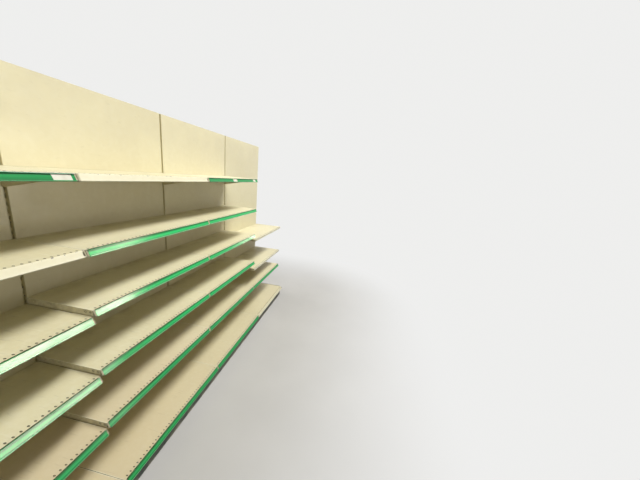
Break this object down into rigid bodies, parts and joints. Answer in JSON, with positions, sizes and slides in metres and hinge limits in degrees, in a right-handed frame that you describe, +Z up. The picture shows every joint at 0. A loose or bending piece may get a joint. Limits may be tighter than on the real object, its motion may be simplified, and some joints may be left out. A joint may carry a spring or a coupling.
{
  "type": "shop wall shelving",
  "caption": "Free-standing steel shop shelving run with slotted uprights, back panels, hook-on tray shelves, base decks and green ticket strips.",
  "frame": {"origin": "on the floor, in the middle of the run's width and depth", "axes": "+X along the run, +Y towards the wall behind it, shelves open towards -Y, +Z up"},
  "size_m": [4.036, 0.5914, 2.4],
  "materials": {
    "cream_enamel": "satin powder coat, light wear",
    "green_plastic": "glossy extruded plastic",
    "charcoal_enamel": "dark satin powder coat, scuffed",
    "ticket_paper": "blank matt card"
  },
  "bodies": {
    "root": {"upright_1": "cream_enamel", "upright_2": "cream_enamel", "upright_3": "cream_enamel", "upright_4": "cream_enamel", "upright_5": "cream_enamel", "base_foot_1": "cream_enamel", "base_foot_2": "cream_enamel", "base_foot_3": "cream_enamel", "base_foot_4": "cream_enamel", "base_foot_5": "cream_enamel", "back_panel_1": "cream_enamel", "back_panel_2": "cream_enamel", "back_panel_3": "cream_enamel", "back_panel_4": "cream_enamel", "base_deck_1": "cream_enamel", "base_deck_2": "cream_enamel", "base_deck_3": "cream_enamel", "base_deck_4": "cream_enamel", "kick_plates": "charcoal_enamel", "bay_1_shelf_1": "cream_enamel", "bay_1_shelf_2": "cream_enamel", "bay_1_shelf_3": "cream_enamel", "bay_1_shelf_4": "cream_enamel", "bay_1_shelf_5": "cream_enamel", "bay_2_shelf_1": "cream_enamel", "bay_2_shelf_2": "cream_enamel", "bay_2_shelf_3": "cream_enamel", "bay_2_shelf_4": "cream_enamel", "bay_2_shelf_5": "cream_enamel", "bay_3_shelf_1": "cream_enamel", "bay_3_shelf_2": "cream_enamel", "bay_3_shelf_3": "cream_enamel", "bay_3_shelf_4": "cream_enamel", "bay_3_shelf_5": "cream_enamel", "bay_4_shelf_1": "cream_enamel", "bay_4_shelf_2": "cream_enamel", "bay_4_shelf_3": "cream_enamel", "brackets_1": "cream_enamel", "brackets_2": "cream_enamel", "brackets_3": "cream_enamel", "brackets_4": "cream_enamel", "ticket_strips_1": "green_plastic", "ticket_strips_2": "green_plastic", "ticket_strips_3": "green_plastic", "ticket_strips_4": "green_plastic"}
  },
  "joints": []
}
